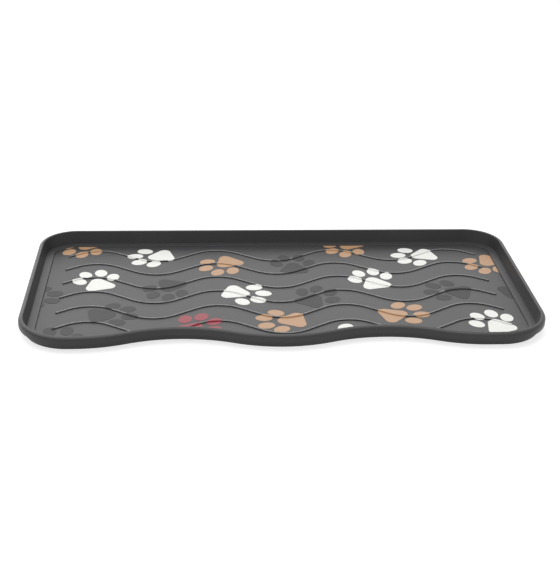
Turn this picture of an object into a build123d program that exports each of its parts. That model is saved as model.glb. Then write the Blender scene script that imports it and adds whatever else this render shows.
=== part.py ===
"""A shallow wavy-fronted pet tray with raised wave ribs and printed paw marks.

Millimetres, +Z up.  The ground is z = 0, the plan centre is x = y = 0, the
long side runs along X and the wavy front edge faces -Y.
"""
import math
import os

from build123d import *

# ---- overall size -------------------------------------------------------
LENGTH = 750.0
DEPTH = 380.0
HEIGHT = 24.0

# ---- plan outline of the lip -------------------------------------------
REAR_CORNER_RADIUS = 57.0
FRONT_CORNER_RADIUS = 72.0
WAVE_HALF_PERIOD = 144.0      # from the crest of a lobe to the next notch
WAVE_DEPTH = 26.0             # from the crest of a lobe back to a notch
WAVE_CENTRE_X = -5.0          # crest of the middle lobe

# ---- section of the rim, measured inward from the lip's outer face ------
SHEET = 2.5                   # thickness of the walls, ledge and lip
FLOOR_THICKNESS = 2.5
LIP_WIDTH = 6.5               # outer face of the lip to its inner edge
LIP_OUTER_ROUND = 5.0
LIP_INNER_ROUND = 1.3
SKIRT_BOTTOM_Z = 13.5         # lower edge of the turned-down lip
WALL_FOOT_INSET = 11.0
WALL_FOOT_Z = 5.2
LEDGE_INNER_INSET = 22.0
LEDGE_INNER_Z = 4.8
FLOOR_EDGE_INSET = 22.7
FLOOR_OVERLAP = 8.0           # width of floor made together with the rim

# ---- wave ribs on the floor --------------------------------------------
RIB_COUNT = 6
RIB_REAR_INSET = 61.0         # rear lip to the mean line of the rearmost rib
RIB_FRONT_INSET = 69.0        # front lobes to the mean line of the front rib
RIB_END_INSET = 47.0          # lip to the rib's end, on the left and the right
RIB_BENDS = 7                 # crests and troughs along one rib
RIB_AMPLITUDE = 20.4
RIB_ROUNDNESS = 0.46          # 0 is a zigzag of straight runs, 1 is arcs alone
RIB_WIDTH = 3.6
RIB_HEIGHT = 1.5
RIB_TOP_ROUND = 0.9

# ---- printed paw marks --------------------------------------------------
INK_THICKNESS = 0.2
TOE_LENGTH = 25.0
TOE_WIDTH = 19.0
INNER_TOE_OUT = 40.5          # from the heel pad's centre to an inner toe
INNER_TOE_SIDE = 12.0
OUTER_TOE_OUT = 20.5
OUTER_TOE_SIDE = 26.0
HEEL_TIP_RADIUS = 10.5
HEEL_TIP_OUT = 12.0
HEEL_LOBE_RADIUS = 9.5
HEEL_LOBE_SIDE = 13.0
HEEL_LOBE_BACK = 8.0

# The marks are laid out for a tray of this size, and spread with a larger one.
LAYOUT_LENGTH = 750.0
LAYOUT_DEPTH = 380.0

# One row per paw mark: node name, heel pad centre x and y, and the direction
# the toes point in, in degrees anticlockwise from +X.
PAW_MARKS = (
    ("paw_white_1", -181, 129, 197),
    ("paw_white_2", -273, 23, 107),
    ("paw_white_3", -67, -7, 338),
    ("paw_white_4", 150, 21, 104),
    ("paw_white_5", 244, 128, 198),
    ("paw_white_6", 310, -128, 111),
    ("paw_white_7", 73, -155, 14),
    ("paw_gold_1", -301, 178, 243),
    ("paw_gold_2", -75, 104, 229),
    ("paw_gold_3", 128, 173, 237),
    ("paw_gold_4", 348, 103, 230),
    ("paw_gold_5", 161, -87, 17),
    ("paw_gold_6", 13, -101, 186),
    ("paw_red_1", -135, -127, 51),
    ("paw_grey_1", -264, -80, 10),
    ("paw_grey_2", -378, -15, 355),
    ("paw_grey_3", -318, -169, 92),
    ("paw_grey_4", -165, 20, 250),
    ("paw_grey_5", 28, 78, 92),
    ("paw_grey_6", 45, -38, 58),
    ("paw_grey_7", 274, -11, 164),
    ("paw_grey_8", 357, -12, 20),
)


def lip_outline():
    """Closed outline of the lip's outer face, drawn from the rear middle."""
    half_length = LENGTH / 2
    rear_y = DEPTH / 2
    lobe_y = -DEPTH / 2
    notch_y = lobe_y + WAVE_DEPTH
    rear_arc_x = half_length - REAR_CORNER_RADIUS
    rear_arc_y = rear_y - REAR_CORNER_RADIUS
    front_arc_x = half_length - FRONT_CORNER_RADIUS
    front_arc_y = lobe_y + FRONT_CORNER_RADIUS
    wave_x = [WAVE_CENTRE_X + step * WAVE_HALF_PERIOD for step in (-2, -1, 0, 1, 2)]
    wave_y = [lobe_y, notch_y, lobe_y, notch_y, lobe_y]

    edges = [
        Line((rear_arc_x, rear_y), (-rear_arc_x, rear_y)),
        RadiusArc((-rear_arc_x, rear_y), (-half_length, rear_arc_y), -REAR_CORNER_RADIUS),
        Line((-half_length, rear_arc_y), (-half_length, front_arc_y)),
        RadiusArc((-half_length, front_arc_y), (-front_arc_x, lobe_y), -FRONT_CORNER_RADIUS),
        Line((-front_arc_x, lobe_y), (wave_x[0], lobe_y)),
    ]
    for index in range(len(wave_x) - 1):
        edges += quarter_waves(wave_x[index], wave_y[index], wave_x[index + 1], wave_y[index + 1])
    edges += [
        Line((wave_x[-1], lobe_y), (front_arc_x, lobe_y)),
        RadiusArc((front_arc_x, lobe_y), (half_length, front_arc_y), -FRONT_CORNER_RADIUS),
        Line((half_length, front_arc_y), (half_length, rear_arc_y)),
        RadiusArc((half_length, rear_arc_y), (rear_arc_x, rear_y), -REAR_CORNER_RADIUS),
    ]
    return Wire(edges)


def quarter_waves(start_x, start_y, end_x, end_y):
    """Two arcs, level at both ends, that join a lobe's crest and a notch."""
    middle = ((start_x + end_x) / 2, (start_y + end_y) / 2)
    run = middle[0] - start_x
    rise = middle[1] - start_y
    radius = (run**2 + rise**2) / (2 * abs(rise))
    turn = -radius if rise > 0 else radius
    return [
        RadiusArc((start_x, start_y), middle, turn),
        RadiusArc(middle, (end_x, end_y), -turn),
    ]


def inset_face(inset):
    """Flat face inside the lip outline, its edge set in by a distance."""
    return Face(lip_outline().offset_2d(-inset))


def rim_section():
    """Section of lip, wall, ledge, step and floor edge: (inset, z) points."""
    under_lip_z = HEIGHT - SHEET
    wall_back_foot = WALL_FOOT_INSET - SHEET
    step_back = LEDGE_INNER_INSET - SHEET / 2
    inner_inset = FLOOR_EDGE_INSET + FLOOR_OVERLAP
    outline = Polyline(
        (0, HEIGHT),
        (LIP_WIDTH, HEIGHT),
        (WALL_FOOT_INSET, WALL_FOOT_Z),
        (LEDGE_INNER_INSET, LEDGE_INNER_Z),
        (FLOOR_EDGE_INSET, FLOOR_THICKNESS),
        (inner_inset, FLOOR_THICKNESS),
        (inner_inset, 0),
        (step_back, 0),
        (step_back, LEDGE_INNER_Z - SHEET),
        (wall_back_foot, WALL_FOOT_Z - SHEET),
        (LIP_WIDTH - SHEET, under_lip_z),
        (SHEET, under_lip_z),
        (SHEET, SKIRT_BOTTOM_Z),
        (0, SKIRT_BOTTOM_Z),
        close=True,
    )
    section = make_face(outline)
    section = fillet(lip_corners(section)[0], LIP_OUTER_ROUND)
    return fillet(lip_corners(section)[-1], LIP_INNER_ROUND)


def lip_corners(section):
    """Corners of a rim section at the lip's top, outermost first."""
    return section.vertices().group_by(Axis.Y)[-1].sort_by(Axis.X)


def rim():
    """The whole rim: its section carried round the lip outline."""
    rear_middle = Plane(origin=(0, DEPTH / 2, 0), x_dir=(0, -1, 0), z_dir=(-1, 0, 0))
    return sweep(rear_middle * rim_section(), path=lip_outline())


def rib_path():
    """Centre line of a rib about y = 0: arcs at its bends, joined by lines."""
    half_length = LENGTH / 2 - RIB_END_INSET
    quarter = half_length / RIB_BENDS
    flank_angle = (1 + RIB_ROUNDNESS) * math.atan2(RIB_AMPLITUDE, quarter)
    flank_sine = math.sin(flank_angle)
    crest_drop = 1 - math.cos(flank_angle)
    crest_radius = (quarter * flank_sine - RIB_AMPLITUDE * math.cos(flank_angle)) / crest_drop
    arc_half_width = crest_radius * flank_sine
    arc_end_rise = RIB_AMPLITUDE - crest_radius * crest_drop

    edges = []
    last = (-half_length, 0)
    for bend in range(RIB_BENDS):
        steps_from_middle = bend - RIB_BENDS // 2
        side = -1 if steps_from_middle % 2 == 0 else 1
        crest_x = steps_from_middle * 2 * quarter
        start = (crest_x - arc_half_width, side * arc_end_rise)
        end = (crest_x + arc_half_width, side * arc_end_rise)
        edges.append(Line(last, start))
        edges.append(ThreePointArc(start, (crest_x, side * RIB_AMPLITUDE), end))
        last = end
    edges.append(Line(last, (half_length, 0)))
    return Wire(edges)


def rib_half_section(growth):
    """Right-hand half of a rib's section, X across the rib and Y upward."""
    half_width = RIB_WIDTH / 2 + growth
    height = RIB_HEIGHT + growth
    top_round = RIB_TOP_ROUND + growth
    return Face(Wire([
        Line((0, 0), (half_width, 0)),
        Line((half_width, 0), (half_width, height - top_round)),
        RadiusArc((half_width, height - top_round), (half_width - top_round, height), -top_round),
        Line((half_width - top_round, height), (0, height)),
        Line((0, height), (0, 0)),
    ]))


def rib_body(growth=0.0):
    """One wave rib about y = 0, standing on z = 0, grown for the ink on it."""
    path = rib_path()
    half_section = rib_half_section(growth)
    start_tangent = path % 0
    start = Plane(origin=path @ 0, x_dir=Vector(0, 0, 1).cross(start_tangent), z_dir=start_tangent)
    body = sweep(start * (half_section + mirror(half_section, about=Plane.YZ)), path=path)
    for along in (0, 1):
        end = path @ along
        outward = (path % along) * (1 if along else -1)
        cap_plane = Plane(origin=end, x_dir=Vector(0, 0, -1).cross(outward), z_dir=-outward)
        body += revolve(cap_plane * half_section, axis=Axis(end, (0, 0, 1)), revolution_arc=180)
    return body


def ribs_on_floor(growth=0.0):
    rib = rib_body(growth)
    return [Pos(0, mean_y, FLOOR_THICKNESS) * rib for mean_y in rib_mean_lines()]


def rib_mean_lines():
    rear_y = DEPTH / 2 - RIB_REAR_INSET
    spacing = (DEPTH - RIB_REAR_INSET - RIB_FRONT_INSET) / (RIB_COUNT - 1)
    return [rear_y - index * spacing for index in range(RIB_COUNT)]


def tray_shell():
    """The one-piece moulding: rim, floor plate and wave ribs."""
    floor_plate = extrude(inset_face(FLOOR_EDGE_INSET + FLOOR_OVERLAP / 2), FLOOR_THICKNESS, dir=(0, 0, 1))
    return rim() + floor_plate + ribs_on_floor()


def ink_blanket():
    """A skin of ink thickness over the whole floor and over every rib."""
    floor_outline = Pos(0, 0, FLOOR_THICKNESS) * inset_face(FLOOR_EDGE_INSET)
    skin = extrude(floor_outline, INK_THICKNESS, dir=(0, 0, 1))
    skin += ribs_on_floor(INK_THICKNESS)
    skin -= ribs_on_floor()
    return skin & extrude(floor_outline, RIB_HEIGHT + 2 * INK_THICKNESS, dir=(0, 0, 1))


def toe_pad(out, side):
    """Oval toe pad whose long axis points away from the heel pad."""
    turn = -math.degrees(math.atan2(side, out)) / 2
    return Pos(side, out) * Rot(0, 0, turn) * Ellipse(TOE_WIDTH / 2, TOE_LENGTH / 2)


def heel_pad():
    """Rounded triangle, narrow toward the toes."""
    circles = Pos(0, HEEL_TIP_OUT) * Circle(HEEL_TIP_RADIUS)
    circles += Pos(-HEEL_LOBE_SIDE, -HEEL_LOBE_BACK) * Circle(HEEL_LOBE_RADIUS)
    circles += Pos(HEEL_LOBE_SIDE, -HEEL_LOBE_BACK) * Circle(HEEL_LOBE_RADIUS)
    return make_hull(circles.edges())


def paw_stamp():
    """Upright prisms over the five pads of a paw whose toes point to +Y."""
    pads = heel_pad()
    for side in (-1, 1):
        pads += toe_pad(INNER_TOE_OUT, side * INNER_TOE_SIDE)
        pads += toe_pad(OUTER_TOE_OUT, side * OUTER_TOE_SIDE)
    top = FLOOR_THICKNESS + RIB_HEIGHT + 2 * INK_THICKNESS
    return extrude(pads, top, dir=(0, 0, 1))


def paw_mark(blanket, stamp, x, y, heading):
    """The ink of one paw mark: the part of the blanket under the stamp."""
    place = Pos(x * LENGTH / LAYOUT_LENGTH, y * DEPTH / LAYOUT_DEPTH)
    return blanket & (place * Rot(0, 0, heading - 90) * stamp)


def main():
    os.makedirs("parts", exist_ok=True)
    export_step(tray_shell(), "parts/tray_shell.step")
    blanket = ink_blanket()
    stamp = paw_stamp()
    for name, x, y, heading in PAW_MARKS:
        export_step(paw_mark(blanket, stamp, x, y, heading), f"parts/{name}.step")


main()
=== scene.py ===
import math

import bmesh
import bpy
from bpy.props import FloatProperty, FloatVectorProperty, PointerProperty
from mathutils import Matrix, Vector


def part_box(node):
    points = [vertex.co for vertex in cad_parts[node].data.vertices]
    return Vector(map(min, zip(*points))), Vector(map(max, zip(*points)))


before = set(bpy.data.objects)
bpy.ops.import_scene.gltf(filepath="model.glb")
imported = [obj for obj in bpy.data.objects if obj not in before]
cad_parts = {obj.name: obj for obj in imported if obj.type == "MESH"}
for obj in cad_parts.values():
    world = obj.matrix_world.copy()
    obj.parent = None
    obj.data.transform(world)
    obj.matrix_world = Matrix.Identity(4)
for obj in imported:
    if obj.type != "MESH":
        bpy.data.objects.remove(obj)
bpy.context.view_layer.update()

bl_info = {
    "name": "Wavy Pet Tray",
    "version": (1, 0, 0),
    "blender": (4, 5, 0),
    "location": "View3D > Sidebar > Pet Tray",
    "description": "Finishes a moulded pet tray and its printed paw marks, and sets up its studio",
    "category": "Object",
}

# ---- the tray and its print, in metres -------------------------------------
TRAY_NODE = "tray_shell"
INKED_RIB_NODE = "paw_white_2"      # a paw mark that runs over the top of a rib
INK_THICKNESS = 0.0002

# Start of a paw mark's node name, and the ink it is printed in.
INKS = {
    "paw_white": "white",
    "paw_gold": "gold",
    "paw_red": "red",
    "paw_grey": "dark_grey",
}

# ---- moulded surface --------------------------------------------------------
PLASTIC_IOR = 1.5
GRAIN_DETAIL = 2.0
GRAIN_STRENGTH = 0.6
MOTTLE_DETAIL = 4.0
DASH_DETAIL = 1.0
TRAY_MOTTLE = 0.06                  # share by which the colour varies
TRAY_MOTTLE_SIZE = 0.02
INK_MOTTLE = 0.05
INK_MOTTLE_SIZE = 0.006

# ---- studio, in metres and degrees ------------------------------------------
FLOOR_GAP = 0.0003                  # keeps the studio floor clear of the tray's underside
FLOOR_LIFT = 0.75                   # glow that brings the seen floor up to white
FLOOR_GREY = (0.5, 0.5, 0.5, 1.0)
WHITE = (1.0, 1.0, 1.0, 1.0)
TRAY_MIDDLE = (0.0, 0.0, 0.0)
OVERHEAD_PLACE = (-0.5, 0.2, 3.2)
OVERHEAD_SIDE = 4.0
REAR_PLACE = (-1.5, 6.0, 2.6)
REAR_WIDTH = 9.0
REAR_HEIGHT = 4.5
CAMERA_PLACE = (-0.1223, -1.6117, 0.7754)
CAMERA_HEADING = -4.37              # turned clockwise from straight along +Y
CAMERA_DROP = 25.55                 # below the level
CAMERA_ROLL = 1.43
CAMERA_LENS_MM = 73.17
CAMERA_SENSOR_MM = 36.0
CAMERA_REACH = 100.0

# ---- layout of a node tree, and the colour sockets of a Mix node ------------
COLUMN_WIDTH = 200
ROW_HEIGHT = 200
MIX_FIRST = 6
MIX_SECOND = 7
MIX_RESULT = 2


# ---- sizes and colours a user would change --------------------------------

class TrayFinish(bpy.types.PropertyGroup):
    plastic_colour: FloatVectorProperty(
        name="Plastic", description="Colour of the moulded plastic",
        default=(0.027, 0.0262, 0.028), subtype="COLOR", min=0, max=1)
    plastic_roughness: FloatProperty(
        name="Roughness", description="Roughness of the satin moulded surface",
        default=0.44, subtype="FACTOR", min=0, max=1)
    grain_depth: FloatProperty(
        name="Grain depth", description="Height of the fine moulded grain",
        default=0.00006, subtype="DISTANCE", unit="LENGTH", precision=6)
    grain_size: FloatProperty(
        name="Grain size", description="Width of one speck of the moulded grain",
        default=0.0009, subtype="DISTANCE", unit="LENGTH", precision=5)
    # Painted highlight on the rib tops: its lighter colour, the height of its band and the length of
    # its dashes.
    crest_highlight_colour: FloatVectorProperty(
        name="Crest highlight", description="Colour of the plastic on the rubbed rib tops",
        default=(0.26, 0.26, 0.27), subtype="COLOR", min=0, max=1)
    crest_band: FloatProperty(
        name="Highlight height", description="Height of the rubbed band at the top of a rib",
        default=0.0004, subtype="DISTANCE", unit="LENGTH", precision=5)
    dash_size: FloatProperty(
        name="Highlight dash", description="Length of one rubbed dash along a rib",
        default=0.004, subtype="DISTANCE", unit="LENGTH", precision=4)


class InkFinish(bpy.types.PropertyGroup):
    white: FloatVectorProperty(
        name="White ink", description="Colour of the white paw marks",
        default=(0.87, 0.87, 0.83), subtype="COLOR", min=0, max=1)
    gold: FloatVectorProperty(
        name="Gold ink", description="Colour of the tan-gold paw marks",
        default=(0.48, 0.28, 0.15), subtype="COLOR", min=0, max=1)
    red: FloatVectorProperty(
        name="Red ink", description="Colour of the red paw mark",
        default=(0.27, 0.015, 0.03), subtype="COLOR", min=0, max=1)
    dark_grey: FloatVectorProperty(
        name="Dark grey ink", description="Colour of the faint dark paw marks",
        default=(0.009, 0.009, 0.011), subtype="COLOR", min=0, max=1)
    roughness: FloatProperty(
        name="Roughness", description="Roughness of the printed ink",
        default=0.42, subtype="FACTOR", min=0, max=1)
    dark_roughness: FloatProperty(
        name="Dark ink roughness", description="Roughness of the matt dark grey ink",
        default=0.54, subtype="FACTOR", min=0, max=1)


class StudioSetup(bpy.types.PropertyGroup):
    floor_size: FloatProperty(
        name="Floor size", description="Side of the square studio floor",
        default=8.0, subtype="DISTANCE", unit="LENGTH")
    surround: FloatProperty(
        name="Surround", description="Strength of the soft light from all round",
        default=0.28, min=0)
    overhead_power: FloatProperty(
        name="Overhead power", description="Power of the overhead softbox",
        default=98.0, unit="POWER")
    rear_power: FloatProperty(
        name="Rear power", description="Power of the large softbox behind the tray",
        default=130.0, unit="POWER")


# ---- node trees -------------------------------------------------------------

def empty_tree(owner):
    """The cleared node tree of a material or a world."""
    owner.use_nodes = True
    owner.node_tree.nodes.clear()
    return owner.node_tree


def feed(tree, source, socket):
    """Link an output to a socket, or set the socket to a plain value."""
    if isinstance(source, bpy.types.NodeSocket):
        tree.links.new(source, socket)
    else:
        socket.default_value = source


def add_node(tree, kind, column, row, **sources):
    """New node whose named sockets take the given values or outputs."""
    node = tree.nodes.new(kind)
    node.location = (column * COLUMN_WIDTH, row * ROW_HEIGHT)
    for socket, source in sources.items():
        feed(tree, source, node.inputs[socket.replace("_", " ")])
    return node


def calculate(tree, operation, column, row, *sources):
    """Output of a Math node on one or two values or outputs."""
    node = add_node(tree, "ShaderNodeMath", column, row)
    node.operation = operation
    for socket, source in zip(node.inputs, sources):
        feed(tree, source, socket)
    return node.outputs["Value"]


def blend_colours(tree, column, row, factor, first, second):
    """Output of a Mix node that goes from the first colour to the second."""
    node = add_node(tree, "ShaderNodeMix", column, row)
    node.data_type = "RGBA"
    feed(tree, factor, node.inputs["Factor"])
    feed(tree, first, node.inputs[MIX_FIRST])
    feed(tree, second, node.inputs[MIX_SECOND])
    return node.outputs[MIX_RESULT]


def seen_factor(tree, column, row):
    """A value of 1 where the camera, a reflection or glass looks at the surface."""
    path = add_node(tree, "ShaderNodeLightPath", column, row)
    bare = calculate(
        tree, "MAXIMUM", column + 1, row, path.outputs["Is Camera Ray"], path.outputs["Is Glossy Ray"])
    return calculate(tree, "MAXIMUM", column + 2, row, bare, path.outputs["Is Transmission Ray"])


# ---- materials ------------------------------------------------------------

def surface_material(name, colour, roughness, grain_size, grain_depth, mottle, mottle_size):
    """Satin surface: a fine grain in its height and a slight mottle in its colour."""
    material = bpy.data.materials.new(name)
    tree = empty_tree(material)
    place = add_node(tree, "ShaderNodeTexCoord", -5, 0).outputs["Object"]
    grain = add_node(
        tree, "ShaderNodeTexNoise", -3, -1, Vector=place, Scale=1 / grain_size, Detail=GRAIN_DETAIL)
    bump = add_node(
        tree, "ShaderNodeBump", 0, -1,
        Height=grain.outputs["Fac"], Strength=GRAIN_STRENGTH, Distance=grain_depth)
    cloud = add_node(
        tree, "ShaderNodeTexNoise", -3, 1, Vector=place, Scale=1 / mottle_size, Detail=MOTTLE_DETAIL)
    darker = [channel * (1 - mottle) for channel in colour]
    lighter = [min(1, channel * (1 + mottle)) for channel in colour]
    tint = blend_colours(tree, 0, 1, cloud.outputs["Fac"], (*darker, 1), (*lighter, 1))
    shader = add_node(
        tree, "ShaderNodeBsdfPrincipled", 2, 0,
        Base_Color=tint, Normal=bump.outputs["Normal"], Roughness=roughness, IOR=PLASTIC_IOR)
    add_node(tree, "ShaderNodeOutputMaterial", 4, 0, Surface=shader.outputs["BSDF"])
    return material


def paint_crest_highlights(material, crest_z, band, crest_highlight_colour, dash_size):
    """Paint a highlight on the tops of the ribs, in broken dashes: a lighter colour standing in for
    the light that catches the crests.
    """
    tree = material.node_tree
    place = add_node(tree, "ShaderNodeTexCoord", -5, 3).outputs["Object"]
    split = add_node(tree, "ShaderNodeSeparateXYZ", -4, 3, Vector=place)
    above = calculate(tree, "SUBTRACT", -3, 3, split.outputs["Z"], crest_z)
    distance = calculate(tree, "ABSOLUTE", -2, 3, above)
    near = add_node(
        tree, "ShaderNodeMapRange", -1, 3, Value=distance, From_Max=band, To_Min=1.0, To_Max=0.0)
    dashes = add_node(
        tree, "ShaderNodeTexNoise", -1, 2, Vector=place, Scale=1 / dash_size, Detail=DASH_DETAIL)
    # Mask of the painted highlight: the band at the rib tops, broken into dashes.
    highlight_mask = calculate(tree, "MULTIPLY", 0, 2, near.outputs["Result"], dashes.outputs["Fac"])

    shader = next(node for node in tree.nodes if node.type == "BSDF_PRINCIPLED")
    plain = shader.inputs["Base Color"].links[0].from_socket
    # Mix the painted highlight colour into the plastic's colour.
    highlighted = blend_colours(tree, 1, 1, highlight_mask, plain, (*crest_highlight_colour, 1))
    feed(tree, highlighted, shader.inputs["Base Color"])


def give_material(node_name, material):
    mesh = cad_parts[node_name].data
    mesh.materials.clear()
    mesh.materials.append(material)


# ---- operators for the object -----------------------------------------------

class PETTRAY_OT_finish_tray(bpy.types.Operator):
    """Give the moulded tray its satin dark grey plastic, with a painted highlight in dashes along the
    rib tops
    """
    bl_idname = "pettray.finish_tray"
    bl_label = "Finish Tray"

    def execute(self, context):
        finish = context.scene.tray_finish
        plastic = surface_material(
            "satin_grey_plastic", finish.plastic_colour, finish.plastic_roughness,
            finish.grain_size, finish.grain_depth, TRAY_MOTTLE, TRAY_MOTTLE_SIZE)
        # Painted highlight along the rib tops, at the height of the inked rib crest.
        crest_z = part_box(INKED_RIB_NODE)[1][2] - INK_THICKNESS
        paint_crest_highlights(plastic, crest_z, finish.crest_band, finish.crest_highlight_colour, finish.dash_size)
        give_material(TRAY_NODE, plastic)
        return {"FINISHED"}


class PETTRAY_OT_finish_paw_marks(bpy.types.Operator):
    """Give every printed paw mark the ink of its colour"""
    bl_idname = "pettray.finish_paw_marks"
    bl_label = "Finish Paw Marks"

    def execute(self, context):
        finish = context.scene.ink_finish
        tray = context.scene.tray_finish
        for stem, ink_name in INKS.items():
            roughness = finish.dark_roughness if ink_name == "dark_grey" else finish.roughness
            ink = surface_material(
                f"ink_{ink_name}", getattr(finish, ink_name), roughness,
                tray.grain_size, tray.grain_depth, INK_MOTTLE, INK_MOTTLE_SIZE)
            for node_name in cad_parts:
                if node_name.startswith(stem):
                    give_material(node_name, ink)
        return {"FINISHED"}


# ---- stage ------------------------------------------------------------------

def lay_floor(size):
    """Square pale floor just under the tray that shows white and keeps the shadow."""
    sheet = bmesh.new()
    bmesh.ops.create_grid(sheet, x_segments=1, y_segments=1, size=size / 2)
    floor_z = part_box(TRAY_NODE)[0][2] - FLOOR_GAP
    bmesh.ops.translate(sheet, verts=sheet.verts, vec=(0, 0, floor_z))
    mesh = bpy.data.meshes.new("studio_floor")
    sheet.to_mesh(mesh)
    sheet.free()
    mesh.materials.append(pale_paper())
    floor = bpy.data.objects.new("studio_floor", mesh)
    bpy.context.collection.objects.link(floor)


def pale_paper():
    """Matt paper that glows up to white only where it is looked at."""
    material = bpy.data.materials.new("pale_paper")
    tree = empty_tree(material)
    lift = calculate(tree, "MULTIPLY", 0, -1, seen_factor(tree, -3, -1), FLOOR_LIFT)
    glow = add_node(tree, "ShaderNodeEmission", 1, -1, Color=WHITE, Strength=lift)
    paper = add_node(tree, "ShaderNodeBsdfDiffuse", 1, 1, Color=FLOOR_GREY)
    both = add_node(tree, "ShaderNodeAddShader", 3, 0)
    feed(tree, paper.outputs["BSDF"], both.inputs[0])
    feed(tree, glow.outputs["Emission"], both.inputs[1])
    add_node(tree, "ShaderNodeOutputMaterial", 4, 0, Surface=both.outputs["Shader"])
    return material


def light_surround(strength):
    """Soft even light from all round, shown as plain white."""
    world = bpy.data.worlds.new("studio_world")
    bpy.context.scene.world = world
    tree = empty_tree(world)
    level = add_node(
        tree, "ShaderNodeMapRange", 0, 0, Value=seen_factor(tree, -3, 0), To_Min=strength, To_Max=1.0)
    background = add_node(
        tree, "ShaderNodeBackground", 1, 0, Color=WHITE, Strength=level.outputs["Result"])
    add_node(tree, "ShaderNodeOutputWorld", 2, 0, Surface=background.outputs["Background"])


def hang_softbox(name, place, width, height, power):
    """Rectangular lamp that faces the middle of the tray."""
    lamp = bpy.data.lights.new(name, "AREA")
    lamp.shape = "RECTANGLE"
    lamp.size = width
    lamp.size_y = height
    lamp.energy = power
    holder = bpy.data.objects.new(name, lamp)
    holder.location = place
    aim = Vector(TRAY_MIDDLE) - Vector(place)
    holder.rotation_euler = aim.to_track_quat("-Z", "Y").to_euler()
    bpy.context.collection.objects.link(holder)


def place_camera(scene):
    """Camera above the front edge, a little to the left, looking down at the floor."""
    camera = bpy.data.objects.new("camera", bpy.data.cameras.new("camera"))
    camera.data.sensor_width = CAMERA_SENSOR_MM
    camera.data.lens = CAMERA_LENS_MM
    camera.data.clip_end = CAMERA_REACH
    heading = Matrix.Rotation(math.radians(CAMERA_HEADING), 4, "Z")
    tilt = Matrix.Rotation(math.radians(90 - CAMERA_DROP), 4, "X")
    roll = Matrix.Rotation(math.radians(CAMERA_ROLL), 4, "Z")
    camera.matrix_world = Matrix.Translation(CAMERA_PLACE) @ heading @ tilt @ roll
    bpy.context.collection.objects.link(camera)
    scene.camera = camera


class PETTRAY_OT_set_stage(bpy.types.Operator):
    """Set up the pale floor, the soft lights and the camera"""
    bl_idname = "pettray.set_stage"
    bl_label = "Set Stage"

    def execute(self, context):
        studio = context.scene.studio_setup
        lay_floor(studio.floor_size)
        light_surround(studio.surround)
        hang_softbox(
            "overhead_softbox", OVERHEAD_PLACE, OVERHEAD_SIDE, OVERHEAD_SIDE, studio.overhead_power)
        hang_softbox("rear_softbox", REAR_PLACE, REAR_WIDTH, REAR_HEIGHT, studio.rear_power)
        place_camera(context.scene)
        context.scene.view_settings.view_transform = "Standard"
        return {"FINISHED"}


# ---- sidebar panel and registration -----------------------------------------

class PETTRAY_PT_panel(bpy.types.Panel):
    """Sidebar panel with the tray's finishes and its stage"""
    bl_label = "Pet Tray"
    bl_idname = "PETTRAY_PT_panel"
    bl_space_type = "VIEW_3D"
    bl_region_type = "UI"
    bl_category = "Pet Tray"

    def draw(self, context):
        layout = self.layout
        scene = context.scene
        for group in (scene.tray_finish, scene.ink_finish, scene.studio_setup):
            box = layout.box()
            for name in type(group).__annotations__:
                box.prop(group, name)
        layout.operator(PETTRAY_OT_finish_tray.bl_idname)
        layout.operator(PETTRAY_OT_finish_paw_marks.bl_idname)
        layout.operator(PETTRAY_OT_set_stage.bl_idname)


CLASSES = (
    TrayFinish,
    InkFinish,
    StudioSetup,
    PETTRAY_OT_finish_tray,
    PETTRAY_OT_finish_paw_marks,
    PETTRAY_OT_set_stage,
    PETTRAY_PT_panel,
)


def register():
    for cls in CLASSES:
        bpy.utils.register_class(cls)
    bpy.types.Scene.tray_finish = PointerProperty(type=TrayFinish)
    bpy.types.Scene.ink_finish = PointerProperty(type=InkFinish)
    bpy.types.Scene.studio_setup = PointerProperty(type=StudioSetup)


def unregister():
    del bpy.types.Scene.studio_setup
    del bpy.types.Scene.ink_finish
    del bpy.types.Scene.tray_finish
    for cls in reversed(CLASSES):
        bpy.utils.unregister_class(cls)


def main():
    register()
    bpy.ops.pettray.finish_tray()
    bpy.ops.pettray.finish_paw_marks()
    bpy.ops.pettray.set_stage()


if __name__ == "__main__":
    main()
